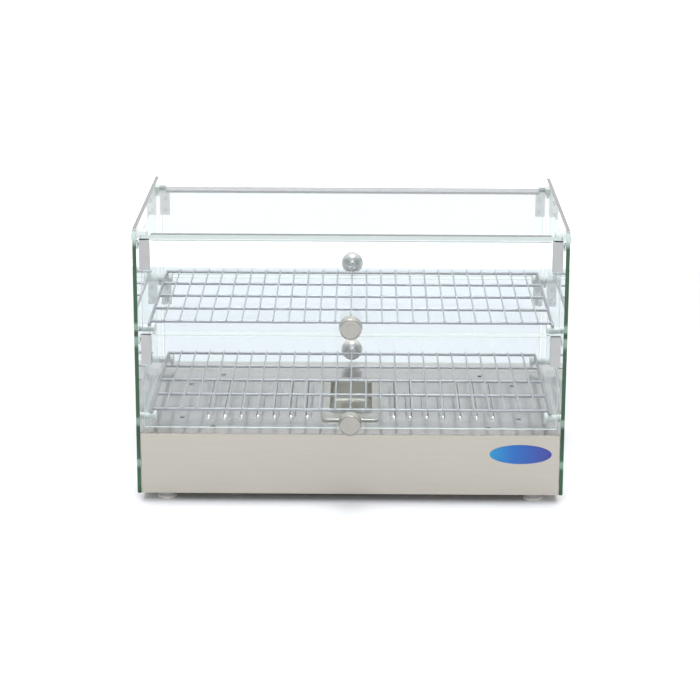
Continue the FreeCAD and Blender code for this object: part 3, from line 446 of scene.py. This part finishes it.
PANE_LOOKS = {
    "side": clear_glass("side_glass_look", 0, (0.35, 0.34, 0.34), *SIDE_EDGE),
    "door": clear_glass("door_glass_look", 1, PALE_EDGE,
                        (0.0, PALE_EDGE), (EDGE_RAMP, scaled(PALE_EDGE, 1.04))),
    "top": clear_glass("roof_glass_look", 2, PALE_EDGE,
                       (0.3, scaled(PALE_EDGE, 1.05)), (EDGE_RAMP, scaled(PALE_EDGE, 1.1)),
                       ends=(0.3, 0.31, 0.3)),
}
DECK_SCREW_LOOK = deck_screw_steel()


def dress_nodes():
    """Give every CAD node the look of its material slot. Panes cast no shadow."""
    for name, node in NODES.items():
        for slot in node.material_slots:
            if name == "deck_screws":
                slot.material = DECK_SCREW_LOOK
            elif slot.material.name == "clear_glass":
                kind = next(k for k in PANE_LOOKS if k in name)
                slot.material = PANE_LOOKS[kind]
                node.visible_shadow = False
            else:
                slot.material = LOOKS[slot.material.name]


# ---------------------------------------------------------------- mesh helpers

def add_piece(name, mesh, slot, body, stands_for=()):
    """Link a finished mesh as a piece that rides on a body."""
    mesh.shade_smooth()
    mesh.set_sharp_from_angle(angle=math.radians(38))
    mesh.materials.append(LOOKS[slot])
    piece = bpy.data.objects.new(name, mesh)
    bpy.context.scene.collection.objects.link(piece)
    if stands_for:
        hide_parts(*stands_for)
    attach(piece, body)
    return piece


def finish_mesh(name, bm):
    """Mesh of a finished bmesh, with its faces turned outwards."""
    bmesh.ops.recalc_face_normals(bm, faces=bm.faces)
    mesh = bpy.data.meshes.new(name)
    bm.to_mesh(mesh)
    bm.free()
    return mesh


def skin(bm, loops, segments):
    """Faces between neighbouring loops of vertices. A loop of one vertex is a pole."""
    for below, above in zip(loops, loops[1:]):
        for i in range(segments):
            j = (i + 1) % segments
            lower = [below[i % len(below)], below[j % len(below)]]
            upper = [above[j % len(above)], above[i % len(above)]]
            bm.faces.new(list(dict.fromkeys(lower + upper)))


def lathe(name, outline, segments=96):
    """Mesh of (radius, height) points turned about Z. A zero radius closes an end."""
    bm = bmesh.new()
    loops = []
    for radius, height in outline:
        if radius < 1e-7:
            loops.append([bm.verts.new((0, 0, height))])
            continue
        turn = [2 * math.pi * i / segments for i in range(segments)]
        loops.append([bm.verts.new((radius * math.cos(a), radius * math.sin(a), height)) for a in turn])
    skin(bm, loops, segments)
    return finish_mesh(name, bm)


def arc(centre_r, centre_h, radius, start, end, steps):
    """Points on a circular arc, in degrees from the radial direction."""
    points = []
    for i in range(steps + 1):
        angle = math.radians(start + (end - start) * i / steps)
        points.append((centre_r + radius * math.cos(angle), centre_h + radius * math.sin(angle)))
    return points


def add_rod(bm, start, end, radius, segments=20, dome=3):
    """Round wire with domed ends."""
    start, end = Vector(start), Vector(end)
    axis = (end - start).normalized()
    side = axis.orthogonal().normalized()
    other = axis.cross(side)
    stations = []
    for i in range(dome + 1):
        angle = math.pi / 2 * i / dome
        stations.append((start - axis * radius * math.cos(angle), radius * math.sin(angle)))
    stations += [(end + (start - centre).dot(axis) * axis, size) for centre, size in reversed(stations)]
    loops = []
    for centre, size in stations:
        if size < 1e-9:
            loops.append([bm.verts.new(centre)])
            continue
        turn = [2 * math.pi * i / segments for i in range(segments)]
        spokes = [side * math.cos(a) + other * math.sin(a) for a in turn]
        loops.append([bm.verts.new(centre + spoke * size) for spoke in spokes])
    skin(bm, loops, segments)


def add_bead(bm, centre, size):
    """Small weld bead, an ellipsoid of half sizes (x, y, z)."""
    matrix = Matrix.Translation(centre) @ Matrix.Diagonal((*size, 1.0))
    bmesh.ops.create_uvsphere(bm, u_segments=10, v_segments=6, radius=1.0, matrix=matrix)


# ---------------------------------------------------------------- wire shelves

WIRE_R = 2.0 * MM
CROSS_R = 1.1 * MM
LONG_WIRES = 5
CROSS_WIRES = 25
CROSS_PITCH = 20.0 * MM
CROSS_OVERHANG = 2.0 * MM
LONG_PITCH = 66.4 * MM


def build_shelf(name):
    """Welded shelf: long wires below, thin cross wires on top, a bead at each weld."""
    low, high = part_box(name)
    z_long = 0.0
    z_cross = high.z - low.z - WIRE_R - CROSS_R
    last_y = high.y - CROSS_OVERHANG
    long_y = [last_y - LONG_PITCH * i for i in reversed(range(LONG_WIRES))]
    half = high.x - WIRE_R
    bm = bmesh.new()
    for y in long_y:
        add_rod(bm, (-half, y, z_long), (half, y, z_long), WIRE_R)
    for side in SIDES:
        add_rod(bm, (side * half, low.y + WIRE_R, z_long), (side * half, last_y, z_long), WIRE_R)
        for y in long_y:
            add_bead(bm, (side * half, y, z_long), (2.3 * MM, 2.3 * MM, 2.05 * MM))
    for i in range(CROSS_WIRES):
        x = CROSS_PITCH * (i - (CROSS_WIRES - 1) / 2)
        add_rod(bm, (x, long_y[0] - CROSS_R, z_cross), (x, last_y + CROSS_R, z_cross), CROSS_R, 14)
        for y in long_y:
            add_bead(bm, (x, y, z_cross - CROSS_R * 0.8), (1.7 * MM, 1.5 * MM, 0.8 * MM))
    shelf = add_piece(name + "_wires", finish_mesh(name + "_wires", bm), "chromed_wire", name, [name])
    shelf.location.z = low.z + WIRE_R


# ---------------------------------------------------------------- roof rail

BOND = 0.1 * MM
TOP_BAND = 0.1 * MM  # vertices this near to the top belong to the top face


def build_rail(node):
    """Bar glued to the roof pane: its top face reaches into the glass, as wetting glue does.

    The bar does not darken the narrow gap over the door, which in truth is lit through the panes.
    """
    mesh = NODES[node].data.copy()
    mesh.name = node + "_bonded"
    mesh.transform(NODES[node].matrix_world)
    mesh.materials.clear()
    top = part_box(node)[1].z
    for vert in mesh.vertices:
        if vert.co.z > top - TOP_BAND:
            vert.co.z += BOND
    bar = add_piece(node + "_bonded", mesh, "rail_steel", "case", [node])
    bar.visible_diffuse = False
    bar.visible_shadow = False


# ---------------------------------------------------------------- door knobs

KNOB_GAP = 0.3 * MM  # from the glass to the knob's foot


def knob_outline(reach):
    """Neck, ball body and a broad, slightly domed face in a low rim, in metres from the glass."""
    centre = reach - 12.5 * MM
    outline = [(0.0, KNOB_GAP), (6.0 * MM, KNOB_GAP)]
    outline += arc(6.0 * MM, 0.8 * MM, 0.5 * MM, -90, 0, 4)
    outline += [(6.5 * MM, 2.7 * MM), (6.2 * MM, 3.1 * MM), (5.5 * MM, 3.7 * MM), (5.4 * MM, 5.0 * MM)]
    outline += arc(0.0, centre, 15.0 * MM, -60, 15, 22)
    for radius, drop in ((14.36, 6.9), (14.2, 5.4), (14.0, 3.9), (13.75, 2.5), (13.6, 1.7)):
        outline.append((radius * MM, reach - drop * MM))
    outline += arc(12.5 * MM, reach - 1.05 * MM, 1.05 * MM, 5, 110, 9)
    outline += [(11.9 * MM, reach - 0.3 * MM), (11.6 * MM, reach - 0.4 * MM)]
    for radius, drop in ((10.5, 0.36), (8.6, 0.29), (8.2, 0.33), (7.8, 0.27), (5.0, 0.16), (2.5, 0.1)):
        outline.append((radius * MM, reach - drop * MM))
    outline.append((0.0, reach - 0.08 * MM))
    return outline


def build_knob(door, outward):
    """Turned knob on the outside of a door."""
    node = door + "_door_knob"
    low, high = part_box(node)
    face = low.y if outward > 0 else high.y
    reach = (high.y - low.y) + KNOB_GAP
    origin = Vector((0.0, face - outward * KNOB_GAP, (low.z + high.z) / 2))
    mesh = lathe(node + "_turned", knob_outline(reach))
    mesh.transform(Matrix.Rotation(math.radians(-90 * outward), 4, "X"))
    piece = add_piece(node + "_turned", mesh, "polished_knob", door + "_door", [node])
    piece.location = origin


def build_knob_screw(door, outward):
    """Dome-headed screw that holds a knob from the inside of the door."""
    node = door + "_knob_screw"
    low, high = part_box(node)
    tip = low.y if outward < 0 else high.y
    length = high.y - low.y
    shoulder = length - 1.6 * MM
    outline = [(0.0, 0.0), (2.2 * MM, 0.0), (2.4 * MM, 0.3 * MM), (2.4 * MM, shoulder + 0.05 * MM)]
    outline += [(6.8 * MM, shoulder + 0.05 * MM)]
    for i in range(13):
        angle = math.pi / 2 * i / 12
        outline.append((7.0 * MM * math.cos(angle), shoulder + 0.3 * MM + 1.3 * MM * math.sin(angle)))
    outline[-1] = (0.0, length)
    mesh = lathe(node + "_domed", outline, 64)
    mesh.transform(Matrix.Rotation(math.radians(90 * outward), 4, "X"))
    piece = add_piece(node + "_domed", mesh, "screw_steel", door + "_door", [node])
    piece.location = (0.0, tip, (low.z + high.z) / 2)


# ---------------------------------------------------------------- badge

def build_badge():
    """Domed oval plate with a thin raised rim."""
    low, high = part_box("badge")
    half = (high - low) / 2
    centre = (low + high) / 2
    thick = high.y - low.y
    outline = [(0.0, 0.0), (1.0, 0.0), (1.0, 0.55), (0.992, 0.8), (0.978, 0.9), (0.962, 0.8), (0.95, 0.62)]
    for i in range(1, 13):
        outline.append((0.95 - 0.95 * i / 12, 0.62 + 0.38 * math.sin(math.pi / 2 * i / 12) ** 0.6))
    mesh = lathe("badge_dome", outline, 120)
    for vert in mesh.vertices:
        x, y, z = vert.co
        vert.co = (centre.x + x * half.x, high.y - z * thick, centre.z + y * half.z)
    add_piece("badge_dome", mesh, "badge_plastic", "case", ["badge"])


# ---------------------------------------------------------------- print on the controls

INK = 0.06 * MM
DIAL_TRAVEL = 270
STROKE_TURN = 15
FIGURE_TURN = 45
FIGURE_RING = 27.5 * MM
FIGURE_HEIGHT = 4.2 * MM
LOWEST_FIGURE = 30
FIGURE_RISE = 10


def add_mark(bm, centre, turn, length, width):
    """Printed stroke on a face towards +Y, turned from upright by an angle."""
    matrix = Matrix.Translation(centre) @ Matrix.Rotation(turn, 4, "Y")
    matrix = matrix @ Matrix.Diagonal((width / 2, INK / 2, length / 2, 1.0))
    bmesh.ops.create_cube(bm, size=2.0, matrix=matrix)


def add_number(name, text, centre, height, slot, body):
    """Printed figures that read from behind the case."""
    curve = bpy.data.curves.new(name, "FONT")
    curve.body = text
    curve.size = height
    curve.extrude = INK / 2
    curve.align_x = "CENTER"
    curve.align_y = "CENTER"
    source = bpy.data.objects.new(name + "_curve", curve)
    mesh = bpy.data.meshes.new_from_object(source)
    mesh.name = name
    bpy.data.objects.remove(source)
    mesh.transform(Matrix.Rotation(math.pi, 4, "Z") @ Matrix.Rotation(math.pi / 2, 4, "X"))
    piece = add_piece(name, mesh, slot, body)
    piece.location = centre


def dial_place(radius, turn):
    """Point of the dial print at an angle from the top, anticlockwise seen from behind."""
    low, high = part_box("thermostat_knob")
    centre = (low + high) / 2
    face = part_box("rear_panel")[1].y
    return Vector((centre.x + radius * math.sin(turn), face + INK / 2, centre.z + radius * math.cos(turn)))


def build_dial_scale():
    """Arc of strokes and temperatures round the thermostat knob, in degrees Celsius.

    It starts at the top, where the pointer rests, and follows the knob's travel.
    """
    bm = bmesh.new()
    for degrees in range(0, DIAL_TRAVEL + 1, STROKE_TURN):
        turn = math.radians(degrees)
        major = degrees % FIGURE_TURN == 0
        radius = (22.6 if major else 22.2) * MM
        add_mark(bm, dial_place(radius, turn), turn, (2.6 if major else 1.6) * MM, 0.5 * MM)
    add_piece("dial_strokes", finish_mesh("dial_strokes", bm), "knob_plastic", "case")
    for step in range(DIAL_TRAVEL // FIGURE_TURN + 1):
        place = dial_place(FIGURE_RING, math.radians(FIGURE_TURN * step))
        figure = str(LOWEST_FIGURE + FIGURE_RISE * step)
        add_number("dial_figure_%d" % step, figure, place, FIGURE_HEIGHT, "knob_plastic", "case")


POINTER_HALF = (0.62 * MM, 0.3 * MM, 5.2 * MM)
POINTER_OUT = 9.6 * MM  # from the knob's axis to the middle of the inlay
POINTER_DEPTH = 0.55 * MM  # of that middle below the knob's face


def build_pointer():
    """White inlay in the groove of the thermostat knob."""
    low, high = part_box("thermostat_knob")
    centre = (low + high) / 2
    bm = bmesh.new()
    place = Vector((0.0, high.y - POINTER_DEPTH, POINTER_OUT))
    matrix = Matrix.Translation(place) @ Matrix.Diagonal((*POINTER_HALF, 1.0))
    bmesh.ops.create_cube(bm, size=2.0, matrix=matrix)
    bmesh.ops.bevel(bm, geom=bm.edges[:], offset=0.12 * MM, segments=2, affect="EDGES", profile=0.5)
    mesh = finish_mesh("pointer_inlay", bm)
    piece = add_piece("pointer_inlay", mesh, "terminal_plastic", "thermostat_knob")
    piece.location = (centre.x, 0.0, centre.z)


# ---------------------------------------------------------------- camera, light and floor

def add_camera():
    """Long lens, slightly above the case and in front of it."""
    eye = Vector((0.01576, -2.92682, 0.98761))
    elevation = math.radians(15.799)
    yaw = math.radians(-0.342)
    roll = math.radians(0.247)
    ahead = Vector((math.sin(yaw) * math.cos(elevation), math.cos(yaw) * math.cos(elevation),
                    -math.sin(elevation)))
    level = Vector((math.cos(yaw), -math.sin(yaw), 0.0))
    up = level.cross(ahead)
    right = level * math.cos(roll) + up * math.sin(roll)
    up = up * math.cos(roll) - level * math.sin(roll)
    data = bpy.data.cameras.new("camera")
    data.sensor_width = 36.0
    data.lens = 116.335
    camera = bpy.data.objects.new("camera", data)
    turn = Matrix((right, up, -ahead)).transposed().to_4x4()
    camera.matrix_world = Matrix.Translation(eye) @ turn
    bpy.context.scene.collection.objects.link(camera)
    bpy.context.scene.camera = camera


def add_area(name, place, aim, size, power):
    """Square softbox at place, facing aim."""
    data = bpy.data.lights.new(name, "AREA")
    data.size = size
    data.energy = power
    lamp = bpy.data.objects.new(name, data)
    lamp.location = place
    lamp.rotation_euler = (Vector(aim) - Vector(place)).to_track_quat("-Z", "Y").to_euler()
    bpy.context.scene.collection.objects.link(lamp)


def add_world():
    """White studio: bright behind and above, cooler and darker in front, brightest past the floor."""
    world = bpy.data.worlds.new("studio")
    world.use_nodes = True
    tree = world.node_tree
    background = tree.nodes["Background"]
    direction = tree.nodes.new("ShaderNodeTexCoord").outputs["Generated"]
    split = tree.nodes.new("ShaderNodeSeparateXYZ")
    tree.links.new(direction, split.inputs[0])
    ramp = tree.nodes.new("ShaderNodeValToRGB")
    stops = ((0.0, (0.29, 0.315, 0.352)), (0.35, (0.403, 0.425, 0.462)), (0.6, (0.7, 0.71, 0.733)),
             (0.88, (0.733, 0.733, 0.733)), (0.98, (0.56, 0.555, 0.565)))
    span = tree.nodes.new("ShaderNodeMapRange")
    span.inputs["From Min"].default_value = -1.0
    tree.links.new(split.outputs["Y"], span.inputs["Value"])
    tree.links.new(span.outputs["Result"], ramp.inputs[0])
    set_stops(ramp, stops)
    below = tree.nodes.new("ShaderNodeMapRange")
    below.inputs["From Min"].default_value = 0.0
    below.inputs["From Max"].default_value = -0.02
    tree.links.new(split.outputs["Z"], below.inputs["Value"])
    mix = tree.nodes.new("ShaderNodeMix")
    mix.data_type = "RGBA"
    tree.links.new(below.outputs["Result"], mix.inputs[0])
    tree.links.new(ramp.outputs["Color"], mix.inputs[6])
    mix.inputs[7].default_value = (1.0, 1.0, 1.0, 1.0)
    tree.links.new(mix.outputs[2], background.inputs["Color"])
    background.inputs["Strength"].default_value = 1.5
    bpy.context.scene.world = world


FLOOR_END_Y = 1.12
FLOOR_HALF = 8.0


def add_floor():
    """Plain white table top that ends well behind the case, with painted shade making it darker behind the
    case.
    """
    bm = bmesh.new()
    bmesh.ops.create_grid(bm, x_segments=1, y_segments=1, size=FLOOR_HALF)
    floor = bpy.data.objects.new("floor", finish_mesh("floor", bm))
    floor.location.y = FLOOR_END_Y - FLOOR_HALF
    shader = Shader("floor_white", Roughness=0.9)
    soft = shader.noise((3.0, 3.0, 3.0), 2.0, 0.5)
    near = shader.ramp(soft, (0.3, (0.92, 0.92, 0.925)), (0.7, (0.93, 0.93, 0.93)))
    # behind: painted shade over the floor behind the case
    behind = shader.ramp(soft, (0.3, (0.732, 0.732, 0.737)), (0.7, (0.742, 0.742, 0.742)))
    middle = FLOOR_HALF - FLOOR_END_Y
    step = shader.along(1, middle - 0.05, middle + 0.25)
    shader.link(shader.blend(step, near, behind), "Base Color")
    floor.data.materials.append(shader.material)
    bpy.context.scene.collection.objects.link(floor)


def light_scene():
    """Soft overhead sun and two small softboxes in front."""
    add_world()
    add_floor()
    sun = bpy.data.lights.new("overhead", "SUN")
    sun.energy = 1.5
    sun.angle = math.radians(25)
    lamp = bpy.data.objects.new("overhead", sun)
    lamp.rotation_euler.x = math.radians(-6)
    bpy.context.scene.collection.objects.link(lamp)
    for side in SIDES:
        name = "front_left" if side < 0 else "front_right"
        add_area(name, (side * 0.6, -1.7, 2.0), (0.0, 0.0, 0.2), 0.35, 6.0)
    bpy.context.scene.view_settings.view_transform = "Standard"


# ---------------------------------------------------------------- build

add_camera()
dress_nodes()
for shelf in ("upper_shelf", "lower_shelf"):
    build_shelf(shelf)
for door, outward in (("upper_front", -1), ("lower_front", -1), ("upper_rear", 1), ("lower_rear", 1)):
    build_knob(door, outward)
    build_knob_screw(door, outward)
for rail in ("front_top_rail", "rear_top_rail"):
    build_rail(rail)
build_badge()
build_dial_scale()
build_pointer()
light_scene()
